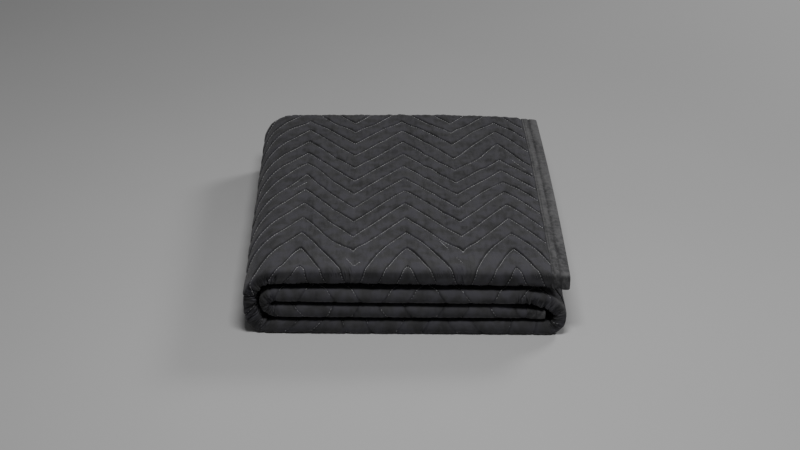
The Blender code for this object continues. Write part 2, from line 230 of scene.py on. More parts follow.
def place(s, v, height):
    """World points for flat places (s, v) at heights over the ply's middle, towards its outside."""
    m = marks_at(s)
    front_angle = math.pi - np.clip(v, -m.over, m.over) / m.front_radius
    rear_angle = math.pi / 2 - np.clip(v - m.back, 0.0, m.under - m.back) / m.rear_radius
    along, up = np.cos(front_angle), np.sin(front_angle)
    power = 2.0 + m.square
    square = (np.abs(along) ** power + np.abs(up) ** power) ** (-1.0 / power)
    lift = height * m.scale
    front_reach = (m.front_radius + lift) * square
    rear_reach = m.rear_radius + lift
    n_front = (m.n_inner + m.n_outer) / 2 + front_reach * up
    n_rear = (m.n_tucked + m.n_outer) / 2 + rear_reach * np.sin(rear_angle)
    y_front = m.y_front + front_reach * along + np.maximum(0.0, -m.over - v)
    y_rear = m.y_rear + rear_reach * np.cos(rear_angle) - np.maximum(0.0, v - m.under)
    outer_ply = (v > m.over) & (v < m.back)
    y = np.where(v <= m.over, y_front, np.where(outer_ply, m.y_front + v - m.over, y_rear))
    n = np.where(v <= m.over, n_front, np.where(outer_ply, m.n_outer + lift, n_rear))
    at_front = fall((y + DEPTH / 2) / m.press_over, 0.0, 1.0) / m.thick
    share = n / m.thick
    leans = rise(s, LEFT_END, LEFT_END + LEAN_FADE_IN)
    leans *= fall(s, LENGTH - LEAN_FADE_OUT[0], LENGTH - LEAN_FADE_OUT[1])
    y = y - FRONT_LEAN * (share - 0.5) * fall((y + DEPTH / 2) / LEAN_WIDTH, 0.0, 1.0) * leans
    share = share * (1.0 - m.pressed * at_front) - (1.0 - share) * m.fuller * at_front
    x = m.inner_x + (m.outer_x - m.inner_x) * share
    z = m.inner_z + (m.outer_z - m.inner_z) * share
    rearward = (y + DEPTH / 2) / DEPTH
    bow = END_BOW * (2.0 * y / DEPTH) ** 2 * rise(s, LENGTH - END_BOW_RUN, LENGTH)
    return np.stack([x - MIDDLE_X - bow, y, z - m.drop * rearward], -1)


nominal = marks_at(0.35 * LENGTH)
LOW_EDGE, HIGH_EDGE = float(nominal.low_edge), float(nominal.high_edge)
CLOTH_WIDTH = HIGH_EDGE - LOW_EDGE
print(f"flat cloth {CLOTH_WIDTH:.3f} x {LENGTH:.3f} m")

# %% [markdown]
# ## The quilting layout
# A quilting machine sews all its rows at once, so every row is the same zigzag, one row gap further
# on. In an even grid a groove 3 mm wide that runs aslant comes out as a staircase. So the grid is
# sheared to the zigzag: w is constant along a row, each row of stitches is a row of points, and
# every corner has its own column.

# %% Rows, corners and where the cloth was pushed
ROW_GAP = 0.0506  # from one row of stitches to the next, across the cloth
ROW_START = 0.0269  # the row just behind the front fold
SWING = 0.11  # valley to peak
HALF_WAVE = 0.087  # peak to valley, along the strip
EDGE_FADE = 0.15  # at the hidden free edges the grid straightens over this width
MIDDLE_W = 0.3  # rows below this straighten to the low edge, the others to the high
SHOWN_FROM, SHOWN_TO = -0.09, 0.7  # w outside these never shows
UNDISTURBED = -0.3  # and before this nothing on top disturbs the rows

# The x of the corners on top, where the machine's feed was uneven: peak, valley, peak and so on.
TOP_CORNERS = (-0.1728, -0.0858, 0.0005, 0.0907, 0.1727)

# Places on top where handling pushed the cloth and its rows: x, y, how far, and its half widths.
PUSHES = (
    (-0.172, 0.045, 0.012, 0.04, 0.035),
    (0.175, 0.12, -0.02, 0.1, 0.04),
    (0.175, 0.045, -0.013, 0.1, 0.05),
    (-0.086, -0.236, 0.015, 0.024, 0.018),
    (0.091, -0.236, 0.015, 0.024, 0.018),
    (-0.172, -0.04, 0.008, 0.045, 0.17),
    (0.0, -0.09, 0.009, 0.045, 0.12),
    (0.173, -0.09, 0.01, 0.045, 0.14),
    (-0.13, -0.22, -0.015, 0.03, 0.05),
    (0.05, -0.235, -0.008, 0.02, 0.04),
)

# What the rows do towards the front and the back, between these distances from y = 0.
FRONT_STEEPENS, FRONT_SPAN = 0.37, (0.212, 0.266)  # the legs of the zigzag swing this much wider
FACE_SPREADS, FACE_SPAN = 0.2, (0.262, 0.33)  # and this much less on the fold's face
FRONT_PULLED, PULL_SPAN = 0.007, (0.235, 0.275)  # the cloth was pulled this far over the fold
BACK_ROW_BY, BACK_SPAN = -0.0105, (0.2306, 0.275)  # the last row was sewn this much closer
ROW_WAVER, WAVER_LONG, WAVER_WIDE = 0.0014, 0.045, 0.07
NOISE_TABLE = 128


def soft_noise(a, b, seed):
    """Seeded unevenness between -1 and 1, smooth, with features about one unit across."""
    table = np.random.default_rng(seed).uniform(-1.0, 1.0, (NOISE_TABLE, NOISE_TABLE))
    i, j = np.floor(a).astype(int), np.floor(b).astype(int)
    p, q = a - i, b - j
    p, q = p * p * (3.0 - 2.0 * p), q * q * (3.0 - 2.0 * q)
    i, j, i_next, j_next = (k % NOISE_TABLE for k in (i, j, i + 1, j + 1))
    low = table[i, j] * (1.0 - p) + table[i_next, j] * p
    high = table[i, j_next] * (1.0 - p) + table[i_next, j_next] * p
    return low * (1.0 - q) + high * q


def middle_x(s):
    inner_x, outer_x = (np.interp(s, ROUTE_S, ROUTE[name]) for name in ("inner_x", "outer_x"))
    return 0.5 * (inner_x + outer_x) - MIDDLE_X


S_ON_TOP = ROUTE_S[ROUTE_S > LEFT_END]
X_ON_TOP = middle_x(S_ON_TOP)
top_corners = np.interp(TOP_CORNERS, X_ON_TOP, S_ON_TOP)
number_before = math.ceil(top_corners[0] / HALF_WAVE)
CORNER_S = np.hstack([top_corners[0] - HALF_WAVE * np.arange(number_before, 0, -1), top_corners,
                      top_corners[-1] + HALF_WAVE * np.arange(1, 3)])
CORNER_V = 0.5 * SWING * (-1.0) ** (np.arange(len(CORNER_S)) - number_before)


def zigzag(s):
    return np.interp(s, CORNER_S, CORNER_V)


def on_strip_top(s):
    """1 where the strip lies on top, falling to 0 through the left turn."""
    return rise(s, LEFT_START, LEFT_END)


def cloth_v(s, w):
    """Where the sheared grid's line w lies across the flat cloth, at length s."""
    m = marks_at(s)
    swings = rise(np.minimum(w - LOW_EDGE, HIGH_EDGE - w), 0.0, EDGE_FADE)
    edge = np.where(w < MIDDLE_W, m.low_edge - LOW_EDGE, m.high_edge - HIGH_EDGE)
    v = w + zigzag(s) * swings + edge * (1.0 - swings)
    v = v + ROW_WAVER * swings * soft_noise(s / WAVER_LONG, w / WAVER_WIDE, 11) - m.front_in * swings
    x, y = middle_x(s), m.y_front + v - m.over
    seen = on_strip_top(s) * (v > 0)
    for push_x, push_y, by, wide_x, wide_y in PUSHES:
        bell = np.exp(-((x - push_x) / wide_x) ** 2 - ((y - push_y) / wide_y) ** 2)
        v += by * bell * seen
    v += BACK_ROW_BY * rise(y, *BACK_SPAN) * seen
    from_peak = 0.5 * SWING - zigzag(s)
    near_front = rise(w, UNDISTURBED, SHOWN_FROM) * on_strip_top(s)
    pulled = FRONT_STEEPENS * from_peak * rise(-y, *FRONT_SPAN)
    pulled -= FACE_SPREADS * from_peak * rise(-y, *FACE_SPAN)
    pulled += FRONT_PULLED * rise(-y, *PULL_SPAN)
    return v - pulled * near_front


print(len(CORNER_S), "zigzag corners;", int(CLOTH_WIDTH / ROW_GAP), "rows of quilting")

# %% [markdown]
# ## The relief of the cloth
# Between two rows of stitches the batting pushes the face cloth up into a channel: steep beside the
# stitches, then almost flat. A cloth simulation gives a fair pillow, but needs a far finer mesh. So
# the height is worked out from the distance to the nearest stitches, and unevenness is laid over
# it: fuller and flatter channels, streaks and troughs from handling, pleats in the turns.

# %% Heights over the middle of the ply
GROOVE_HALF = 0.0012  # half the ply's thickness at a row of stitches
CROWN_HALF = 0.0039
TAPED_HALF = 0.0022
STEEP = 0.0008  # a channel rises within about this of the row in front of it
GENTLE = 0.0042  # and falls over about this to the row behind it
LIP_VARIES, LIP_LONG = 0.5, 0.028  # how unevenly steep a channel's front is, over what length
FULL_VARIES, FULL_LONG = 0.16, 0.05  # how unevenly full it is
NEAR_FRONT = (0.06, 0.12)  # on top, v up to here has channels
FRONT_SOFTER = 0.4  # with this much gentler fronts
FRONT_FULLER = 0.26  # and this much more batting
FOLD_FILL = 0.6  # round a fold the cloth is stretched, and its grooves are shallower
TAPE_WIDTH = 0.03
TAPE_PULL = 0.007  # the tape's seam draws the cloth in over this length

# Troughs on top: middle, half length, half width, depth, and lean in degrees from +Y.
TROUGHS = (
    (0.0385, 0.117, 0.11, 0.005, 0.0014, -1),
    (0.065, 0.064, 0.08, 0.006, 0.0014, 2),
    (-0.13, -0.147, 0.036, 0.006, 0.0014, -5),
    (-0.0907, -0.182, 0.036, 0.007, 0.0014, -6),
    (0.0645, -0.09, 0.055, 0.005, 0.0014, 2),
    (0.145, 0.094, 0.032, 0.006, 0.0016, 3),
    (-0.12, -0.102, 0.046, 0.005, 0.0012, 0),
    (-0.118, 0.1, 0.03, 0.008, 0.0016, 8),
    (-0.062, 0.08, 0.024, 0.009, -0.0012, 20),
    (0.048, 0.045, 0.03, 0.007, -0.0012, -4),
    (0.015, -0.15, 0.035, 0.008, 0.001, 12),
    (0.16, -0.1, 0.04, 0.008, 0.0012, -15),
    (-0.03, 0.18, 0.04, 0.007, 0.001, 10),
    (0.115, 0.21, 0.045, 0.007, 0.001, -6),
)

# Soft relief from handling, in layers: depth, width along the strip, length across it, lean, seed.
HANDLING = (
    (0.00075, 0.0105, 0.034, 0.1, 31),
    (0.00065, 0.024, 0.03, -0.3, 32),
    (0.0003, 0.005, 0.016, 0.0, 33),
)

# Inside a turn the front fold is drawn into pleats that wander, with crinkles between.
PLEAT_DEPTH, PLEAT_PITCH, PLEAT_LONG, PLEAT_NARROW = 0.0044, 0.0072, 0.03, 3.5
PLEAT_WANDER, PLEAT_WANDER_WIDE = 0.35, 0.004
CRINKLE_DEPTH, CRINKLE_WIDE, CRINKLE_LONG = 0.0008, 0.008, 0.011
FOLD_WIDTH = (0.014, 0.03)  # they fade between these distances from the fold's line


def leg_distance(s, v, leg, lift):
    """Distance on the flat cloth from (s, v) to one leg of a zigzag that is lifted by lift."""
    s0, v0 = CORNER_S[leg], CORNER_V[leg] + lift
    ds, dv = CORNER_S[leg + 1] - s0, CORNER_V[leg + 1] + lift - v0
    share = np.clip(((s - s0) * ds + (v - v0) * dv) / (ds * ds + dv * dv), 0.0, 1.0)
    return np.hypot(s - s0 - share * ds, v - v0 - share * dv)


def row_distances(s, w):
    """Distances on the flat cloth to the row of stitches in front and to the one behind."""
    v = zigzag(s) + (w - ROW_START) % ROW_GAP
    leg = np.searchsorted(CORNER_S, s) - 1
    near_legs = [np.clip(leg + step, 0, len(CORNER_S) - 2) for step in (-1, 0, 1)]
    return [np.min([leg_distance(s, v, near_leg, lift) for near_leg in near_legs], axis=0)
            for lift in (0.0, ROW_GAP)]


def turn_share(s, margin):
    """1 inside a turn of the strip, falling to 0 over margin on either side."""
    return np.max([rise(s, start - margin, start + margin)
                   * fall(s, end - margin, end + margin) for start, end in TURN_SPANS], axis=0)


def troughs_at(s, v, m):
    """How deep the listed troughs are at flat places on top."""
    x, y = middle_x(s), m.y_front + v - m.over
    total = np.zeros(np.shape(s))
    for trough_x, trough_y, long, wide, deep, lean in TROUGHS:
        dx, dy = x - trough_x, y - trough_y
        cos, sin = math.cos(math.radians(lean)), math.sin(math.radians(lean))
        across, along = dx * cos + dy * sin, dy * cos - dx * sin
        total += deep * np.exp(-(across / wide) ** 2 - (along / long) ** 4)
    return total * rise(s, LEFT_END - 0.02, LEFT_END + 0.01) * (v > 0)


def cloth_half(s, v, w):
    """Half the ply's thickness on its outer side, with everything that shapes it."""
    m = marks_at(s)
    in_front, behind = row_distances(s, w)
    from_fold, channel = np.abs(v), w / ROW_GAP
    near_front = on_strip_top(s) * fall(v, *NEAR_FRONT)
    lip = 1.0 + LIP_VARIES * soft_noise(s / LIP_LONG, channel * 1.7, 22)
    steep = STEEP * lip * (1.0 + FRONT_SOFTER * near_front)
    puff = (1.0 - np.exp(-in_front / steep)) * (1.0 - np.exp(-behind / GENTLE))
    fullness = 1.0 + FULL_VARIES * soft_noise(s / FULL_LONG, channel * 1.3, 21)
    fullness += FRONT_FULLER * near_front
    folded = np.maximum(1.0 - rise(from_fold, m.over * 0.9, m.over + 0.012),
                        rise(v, m.back - 0.01, m.back + 0.004))
    floor_half = GROOVE_HALF + (CROWN_HALF - GROOVE_HALF) * FOLD_FILL * folded
    half = floor_half + (CROWN_HALF - floor_half) * puff * fullness
    handled = sum(deep * soft_noise((s + lean * v) / wide, v / long, seed)
                  for deep, wide, long, lean, seed in HANDLING)
    top_share = on_strip_top(s) * rise(v, 0.0, m.over * 2.0)
    off_fold = 0.35 + 0.65 * rise(from_fold, 0.01, 0.03)
    half += handled * (0.3 + 0.7 * top_share) * (0.3 + 0.7 * puff) * off_fold
    half -= troughs_at(s, v, m)
    fold = 1.0 - rise(from_fold, *FOLD_WIDTH)
    drawn_in = turn_share(s, 0.006) * fold * fall(v, m.over * 0.1, m.over * 1.1)
    wander = PLEAT_WANDER * np.sin(v / PLEAT_WANDER_WIDE)
    pleat = np.abs(soft_noise(s / PLEAT_PITCH + wander, v / PLEAT_LONG, 41))
    half -= PLEAT_DEPTH * drawn_in * (1.0 - pleat) ** PLEAT_NARROW
    crinkle = soft_noise(s / CRINKLE_WIDE, v / CRINKLE_LONG, 42)
    half += CRINKLE_DEPTH * turn_share(s, 0.008) * fold * crinkle
    from_edge = np.minimum(v - m.low_edge, m.high_edge - v)
    from_edge = np.minimum(np.minimum(s, LENGTH - s), from_edge)
    free = rise(from_edge, TAPE_WIDTH - 0.001, TAPE_WIDTH + TAPE_PULL)
    return TAPED_HALF + (half - TAPED_HALF) * free


print("a channel's crown is", CROWN_HALF, "m over the ply's middle, its groove", GROOVE_HALF)

# %% [markdown]
# ## The quilted cloth
# The cloth is one closed mesh. An even one, fine enough for the grooves, would have over a million
# triangles, most of them out of sight. So the columns have levels, like the marks on a ruler: a row
# takes all of them inside a turn, every second one in plain sight, and one in sixteen inside the
# pile. Two rows that took different columns are laced together.

# %% Grid rows and columns
LEG_COLUMNS = 48  # base columns between two zigzag corners, about 1.8 mm apart
FINE_STEPS = (0.0, 0.02, 0.045, 0.08, 0.13, 0.195, 0.26, 0.33, 0.4, 0.47)
FINE_SHARES = FINE_STEPS + tuple(1.0 - step for step in FINE_STEPS[:0:-1])
COARSE_SHARES = (0.0, 0.5)
ARC_SHARES = tuple(np.arange(8) / 8)
ARC_BANDS = ((-0.072, 0.072), (0.54, 0.68))  # w that crosses the front or the rear fold
EDGE_IN = 0.0015  # the cloth's edge lies this far inside its tape's
ROW_CLEAR, COLUMN_CLEAR = 0.004, 0.001  # no row or column comes closer to the edge

legs = [np.linspace(a, b, LEG_COLUMNS, endpoint=False) for a, b in zip(CORNER_S, CORNER_S[1:])]
base_s = np.concatenate(legs)
CLOTH_START, CLOTH_END = EDGE_IN, LENGTH - EDGE_IN
between = (base_s > CLOTH_START + COLUMN_CLEAR) & (base_s < CLOTH_END - COLUMN_CLEAR)
COLUMN_S = np.hstack([CLOTH_START, base_s[between], CLOTH_END])
COLUMN_RANK = np.hstack([0, np.flatnonzero(between), 0])


def row_lines(shares_for):
    first = math.floor((LOW_EDGE - ROW_START) / ROW_GAP)
    last = math.ceil((HIGH_EDGE - ROW_START) / ROW_GAP)
    feet = [ROW_START + k * ROW_GAP for k in range(first, last + 1)]
    lines = [foot + share * ROW_GAP for foot in feet for share in shares_for(foot)]
    kept = [w for w in lines if LOW_EDGE + ROW_CLEAR < w < HIGH_EDGE - ROW_CLEAR]
    return np.array([LOW_EDGE + EDGE_IN] + kept + [HIGH_EDGE - EDGE_IN])


def outer_shares(foot):
    return FINE_SHARES if SHOWN_FROM - ROW_GAP < foot < SHOWN_TO else COARSE_SHARES


def inner_shares(foot):
    at_fold = any(low - ROW_GAP < foot < high for low, high in ARC_BANDS)
    return ARC_SHARES if at_fold else COARSE_SHARES


def sight(s, v, below, before, after, margin):
    """Where the front fold, the rear fold and the outer ply show, with these margins."""
    m = marks_at(s)
    front = (v > -m.over - below) & (v < m.over + 0.014)
    rear = (v > m.back - before) & (v < m.under + after)
    outside = (s > RIGHT_START - margin) & (s < RIGHT_END + margin)
    outside |= s > LEFT_START - 0.01 - 2 * margin
    return front, rear, (v > 0) & (v < m.under) & outside


def outer_strides(s, v):
    """How many base columns to the next one that a row uses there, on the outer face."""
    front, rear, outer_ply = sight(s, v, 0.01, 0.016, 0.006, 0.01)
    turning = turn_share(s, 0.012) > 0.0
    return np.where(front & turning, 1,
                    np.where(front | outer_ply, 2, np.where(turning | rear, 4, 16)))


def inner_strides(s, v):
    return np.where(turn_share(s, 0.012) > 0.0, 4, 16)


def face_rows(lines, strides):
    """For each line w: the columns it uses, as indexes into COLUMN_S."""
    return [np.flatnonzero(COLUMN_RANK % strides(COLUMN_S, cloth_v(COLUMN_S, w)) == 0)
            for w in lines]


def lace(low_keys, low, high_keys, high):
    """Faces between two rows of points whose places along the row needn't match."""
    faces, i, j = [], 0, 0
    low_keys, high_keys = [*low_keys, math.inf], [*high_keys, math.inf]
    while i < len(low) - 1 or j < len(high) - 1:
        low_steps = int(low_keys[i + 1] <= high_keys[j + 1])
        high_steps = int(high_keys[j + 1] <= low_keys[i + 1])
        faces.append((*low[i:i + low_steps + 1], *high[j:j + high_steps + 1][::-1]))
        i, j = i + low_steps, j + high_steps
    return faces


print(len(COLUMN_S), "columns")


# %% Weave the two faces into one mesh
def put(name, data):
    made = bpy.data.objects.new(name, data)
    bpy.context.scene.collection.objects.link(made)
    return made


def add_piece(name, points, faces, flat):
    """A mesh object, with its flat places kept for the finish."""
    points[:, 2] = np.maximum(points[:, 2], 0.0)  # flat where the pile rests
    mesh = bpy.data.meshes.new(name)
    mesh.from_pydata(points.tolist(), [], faces)
    mesh.validate()
    bm = bmesh.new()
    bm.from_mesh(mesh)
    bmesh.ops.recalc_face_normals(bm, faces=bm.faces)
    bm.to_mesh(mesh)
    bm.free()
    attribute = mesh.attributes.new("flat", "FLOAT_VECTOR", "POINT")
    attribute.data.foreach_set("vector", np.asarray(flat, np.float32).ravel())
    mesh.shade_smooth()
    print(f"{name}: {len(points)} points, {sum(len(face) - 2 for face in faces)} triangles")
    return put(name, mesh)


def build_quilt():
    outer_lines, inner_lines = row_lines(outer_shares), row_lines(inner_shares)
    outer_rows = face_rows(outer_lines, outer_strides)
    inner_rows = face_rows(inner_lines, inner_strides)
    outer_rows[0], outer_rows[-1] = inner_rows[0], inner_rows[-1]  # the faces meet there
    points, flat, ids, faces, start = [], [], [], [], 0
    for side, lines, rows in ((1.0, outer_lines, outer_rows), (-1.0, inner_lines, inner_rows)):
        s = np.concatenate([COLUMN_S[row] for row in rows])
        w = np.concatenate([np.full(len(row), line) for row, line in zip(rows, lines)])
        v = cloth_v(s, w)
        points.append(place(s, v, side * cloth_half(s, v, w)))
        flat.append(np.stack([s, v, row_distances(s, w)[0]], 1))
        ends = start + np.cumsum([len(row) for row in rows])
        side_ids = [np.arange(end - len(row), end) for end, row in zip(ends, rows)]
        for k in range(len(rows) - 1):
            faces += lace(rows[k], side_ids[k], rows[k + 1], side_ids[k + 1])
        ids.append(side_ids)
        start = ends[-1]
    outer_ids, inner_ids = ids
    for end in (0, -1):
        faces += lace(outer_rows[end], outer_ids[end], inner_rows[end], inner_ids[end])
        faces += lace(outer_lines, [row[end] for row in outer_ids],
                      inner_lines, [row[end] for row in inner_ids])
    faces = [tuple(int(k) for k in face) for face in faces]
    return add_piece("quilted_cloth", np.vstack(points), faces, np.vstack(flat))


quilt = build_quilt()
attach(quilt, "root")
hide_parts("quilt")

# %% [markdown]
# ## The quilting stitches
# A lockstitch shows as short dashes that rise out of one needle hole and dive into the next. A
# dashed line in the material would be flat, so each dash is a small bead of mesh, bowed in the
# middle. They follow the grooves, and all are joined into one piece.

# %% Stitch sizes
STITCH_PITCH = 0.0056
STITCH_LENGTH = 0.0048
THREAD = 0.00048  # its radius
THREAD_BOW = 0.00035  # the middle of a stitch stands this far over its ends
PLACE_VARIES = 0.0002  # a stitch lies this much out of its even place
LENGTH_VARIES = (0.88, 1.1)
THREAD_LIFT, THREAD_SINK = 0.6, 1.3  # in radii: its middle over the cloth, and what sinking takes
SUNK_THINS = 0.4  # a stitch that a fold has drawn in shows this much less
# a stitch that a fold has drawn in is darkened this much, a painted shade
SUNK_PAINTED_SHADE = 0.8
SAMPLE_STEP = 0.0005  # rows are measured in steps of this length along the strip

# A bead's rings: place along the stitch, and shares of the thread's radius and of the bow.
BEAD = ((-0.5, 0.25, -0.6), (-0.34, 0.85, 0.35), (0.0, 1.0, 1.0), (0.34, 0.85, 0.35),
        (0.5, 0.25, -0.6))
BEAD_SIDES = 5

# Short runs where a needle strayed from its row, by x and y on top.
STRAY_RUNS = (
    ((-0.1956, -0.0205), (-0.183, -0.003), (-0.171, 0.0108)),
    ((0.1862, 0.1213), (0.2037, 0.0926), (0.2274, 0.0565)),
    ((0.191, 0.0202), (0.1999, 0.0009)),
    ((-0.0993, -0.2559), (-0.0847, -0.2849), (-0.0738, -0.2719)),
    ((0.0538, -0.2011), (0.0687, -0.2312)),
    ((0.073, -0.2443), (0.089, -0.2764)),
)
STRAY_SAMPLES = 60


def unit(vectors):
    return vectors / np.linalg.norm(vectors, axis=-1, keepdims=True)


def stitches_along(s, v, height, keep, seed, sunk=0.0, pitch=STITCH_PITCH, corners=()):
    """Starts, ends, ups and sunk shares of stitches along flat places, wherever keep is true.
    A needle goes down at every corner, so no stitch cuts one.
    """
    line = place(s, v, height)
    above = place(s, v, height + 0.001)
    length = np.append(0.0, np.cumsum(np.linalg.norm(np.diff(line, axis=0), axis=1)))
    marks = np.unique([0.0, *np.interp(corners, s, length), length[-1]])
    counts = np.maximum(1, np.round(np.diff(marks) / pitch).astype(int))
    pitches = np.repeat(np.diff(marks) / counts, counts)
    rng = np.random.default_rng(seed)
    shifts = rng.uniform(-PLACE_VARIES, PLACE_VARIES, len(pitches))
    middles = np.cumsum(pitches) - 0.5 * pitches + shifts
    halves = 0.5 * pitches * STITCH_LENGTH / STITCH_PITCH * rng.uniform(*LENGTH_VARIES, len(pitches))
    shown = np.interp(middles, length, np.broadcast_to(keep, len(s))) > 0.5

    def at(points, where):
        return np.stack([np.interp(where, length, column) for column in points.T], 1)

    middles, halves = middles[shown], halves[shown]
    ups = unit(at(above, middles) - at(line, middles))
    sunk_there = np.interp(middles, length, np.broadcast_to(sunk, len(s)))
    halves = halves * (1.0 - SUNK_THINS * sunk_there)
    return at(line, middles - halves), at(line, middles + halves), ups, sunk_there


def ring_faces(count, size):
    """Faces from each of count rings of points to the next."""
    return [(low + k, low + (k + 1) % size, low + size + (k + 1) % size, low + size + k)
            for low in range(0, (count - 1) * size, size) for k in range(size)]


def add_stitches(name, runs, radius):
    """A bead for every stitch of these runs. Its flat places are: along it, round it, its tone,
    which painted shade darkens on stitches that a fold has sunk.
    """
    starts, ends, ups, sunk = (np.concatenate(part) for part in zip(*runs))
    along = ends - starts
    middle, forward = 0.5 * (starts + ends), unit(along)
    side = unit(np.cross(forward, ups))
    up = np.cross(side, forward)
    turn = 2.0 * math.pi * np.arange(BEAD_SIDES) / BEAD_SIDES
    rings = []
    for place_along, thick, bow in BEAD:
        centre = middle + along * place_along + up * (THREAD_BOW * bow)
        reach = radius * thick * (1.0 - SUNK_THINS * sunk[:, None])
        rings += [centre + reach * (side * math.cos(a) + up * math.sin(a)) for a in turn]
    points = np.stack(rings, 1)
    count, size = points.shape[:2]
    pattern = [tuple(range(BEAD_SIDES))[::-1], *ring_faces(len(BEAD), BEAD_SIDES),
               tuple(range(size - BEAD_SIDES, size))]
    faces = [tuple(n * size + k for k in face) for n in range(count) for face in pattern]
    # A sunk stitch is darkened, as painted shade.
    tone = np.random.default_rng(7).uniform(0.0, 1.0, count) * (1.0 - SUNK_PAINTED_SHADE * sunk)
    places = np.tile(np.repeat([ring[0] for ring in BEAD], BEAD_SIDES), count)
    around = np.tile(np.arange(BEAD_SIDES) / BEAD_SIDES, count * len(BEAD))
    print(name, "has", count, "stitches")
    return add_piece(name, points.reshape(-1, 3), faces,
                     np.stack([places, around, np.repeat(tone, size)], 1))


# %% Sew the rows
def sunk_share(s, v, k):
    """0 where row k's stitches lie on the cloth, 1 where a front fold has drawn them in."""
    over = marks_at(s).over
    folded = fall(v, over * 0.55, over * 0.75)
    below = 1.0 - on_strip_top(s)
    worn = rise(soft_noise(s / 0.007, v / 0.011 + 7.0 * k, 71), -0.35, 0.1)
    return folded * np.maximum(below * (0.55 + 0.4 * worn), 0.3 + 0.25 * worn)


def row_run(k):
    """Row k's stitches, where they can be seen: on top, on both folds and round the right turn."""
    s = np.arange(CLOTH_START, CLOTH_END, SAMPLE_STEP)
    w = ROW_START + k * ROW_GAP
    v = cloth_v(s, w)
    sunk = sunk_share(s, v, k)
    height = cloth_half(s, v, w) + (THREAD_LIFT - THREAD_SINK * sunk) * THREAD
    shows = np.any(sight(s, v, 0.004, 0.02, 0.002, 0.0), axis=0) & (sunk < 0.9)
    shows &= np.minimum(s, LENGTH - s) > TAPE_WIDTH + 0.001
    return stitches_along(s, v, height, shows, 500 + k, sunk, corners=CORNER_S)


def stray_run(number):
    corners = STRAY_RUNS[number]
    share = np.linspace(0.0, len(corners) - 1.0, STRAY_SAMPLES)
    x, y = (np.interp(share, range(len(corners)), column) for column in zip(*corners))
    s = np.interp(x, X_ON_TOP, S_ON_TOP)
    m = marks_at(s)
    return stitches_along(s, y - m.y_front + m.over, CROWN_HALF - 0.0002, True, 600 + number)


first_row = math.ceil((SHOWN_FROM - ROW_START) / ROW_GAP)
last_row = math.floor((SHOWN_TO - ROW_START) / ROW_GAP)
quilting = [row_run(k) for k in range(first_row, last_row + 1)]
quilting += [stray_run(number) for number in range(len(STRAY_RUNS))]
stitches = add_stitches("quilting_stitches", quilting, THREAD)
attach(stitches, "root")

# %% [markdown]
# ## The binding tape
# The edges are bound with a firm tape, folded over and sewn through near its inner side. It has one
# soft groove where its turned-in hem ends. A solidified strip would be quick, but equally thick
# everywhere. Here a short table gives the tape's profile, which is swept along the edge.

# %% The tape's profile
# Distance in from the cloth's edge, height over the ply's middle, and how pale it is painted there:
# a painted shade, darkest in the groove.
TAPE_FACE = np.array((
    (0.03, 0.0022, 0.6), (0.0299, 0.0031, 0.7), (0.0292, 0.0036, 0.9), (0.0278, 0.0037, 1.0),
    (0.0268, 0.0032, 0.7), (0.0258, 0.0037, 1.0), (0.024, 0.0041, 1.1), (0.0208, 0.0042, 0.9),
    (0.019, 0.0039, 0.6), (0.0178, 0.0033, 0.3), (0.0166, 0.0032, 0.2), (0.0152, 0.0037, 0.4),
    (0.0138, 0.0043, 0.8), (0.011, 0.0046, 1.0), (0.006, 0.0046, 1.0), (0.0028, 0.0043, 1.0),
    (0.0012, 0.0037, 0.9), (0.0004, 0.0028, 0.9), (0.0, 0.0014, 0.8),
))
TAPE_INSET = 0.0009  # the skin inside the tape lies this far under its face
TAPE_INSIDE_HALF = 0.0006  # but no nearer than this to the ply's middle
INNER_SIDE = 0.029  # its own inner side, from here on, isn't drawn in
THICK_VARIES, THICK_LONG, THICK_WIDE = 0.00018, 0.013, 0.006
EDGE_VARIES, EDGE_LONG = 0.0005, 0.035
SEAM_IN, SEAM_HEIGHT, SEAM_PITCH = 0.0268, 0.0033, 0.0042
SEAM_RADIUS = 0.8 * THREAD


# Its outer and inner skin, from one inner side round the cloth's edge to the other.
OUTER_SKIN = np.vstack([TAPE_FACE, TAPE_FACE[::-1] * (1.0, -1.0, 1.0)])
INNER_SKIN = OUTER_SKIN.copy()
side, face = OUTER_SKIN[:, 0], OUTER_SKIN[:, 1]
INNER_SKIN[:, 0] = np.where(side < INNER_SIDE, np.maximum(side, TAPE_INSET), side)
INNER_SKIN[:, 1] = np.sign(face) * np.maximum(np.abs(face) - TAPE_INSET, TAPE_INSIDE_HALF)


def sweep_tape(name, along, at, painted_light_along):
    """A closed tape: at(along, in_from, height) gives its points, and the last function gives, for
    each length along the edge, how much of the profile's painted light and shade it takes.
    """
    ring = np.vstack([OUTER_SKIN, INNER_SKIN[::-1]])
    count, size = len(along), len(ring)
    a = np.repeat(along, size)
    in_from, height, painted_light = (np.tile(column, count) for column in ring.T)
    thick = THICK_VARIES * soft_noise(a / THICK_LONG, in_from / THICK_WIDE, 61) * np.sign(height)
    edge = EDGE_VARIES * soft_noise(a / EDGE_LONG, np.zeros(len(a)), 62) * (in_from > 0.025)
    points = at(a, in_from + edge, height + thick)
    faces = ring_faces(count, size)
    faces += [(foot + k, foot + k + 1, foot + size - 2 - k, foot + size - 1 - k)
              for foot in (0, (count - 1) * size) for k in range(len(OUTER_SKIN) - 1)]
    across = np.cumsum(np.append(0.0, np.hypot(*np.diff(ring[:, :2], axis=0).T)))
    flat = np.stack([a, np.tile(across, count), painted_light * painted_light_along(a)], 1)
    return add_piece(name, points, faces, flat)


# %% Bind the four edges
def marks_along(start, end, step, dense):
    """Lengths from start to end a step apart, closer in the dense stretches (low, high, step)."""
    stretches = [(start, end, step)] + [(max(a, start), min(b, end), fine) for a, b, fine in dense]
    marks = np.unique(np.concatenate([np.linspace(a, b, max(2, int((b - a) / each) + 1))
                                      for a, b, each in stretches]))
    return marks[np.append(True, np.diff(marks) > 0.0004)]


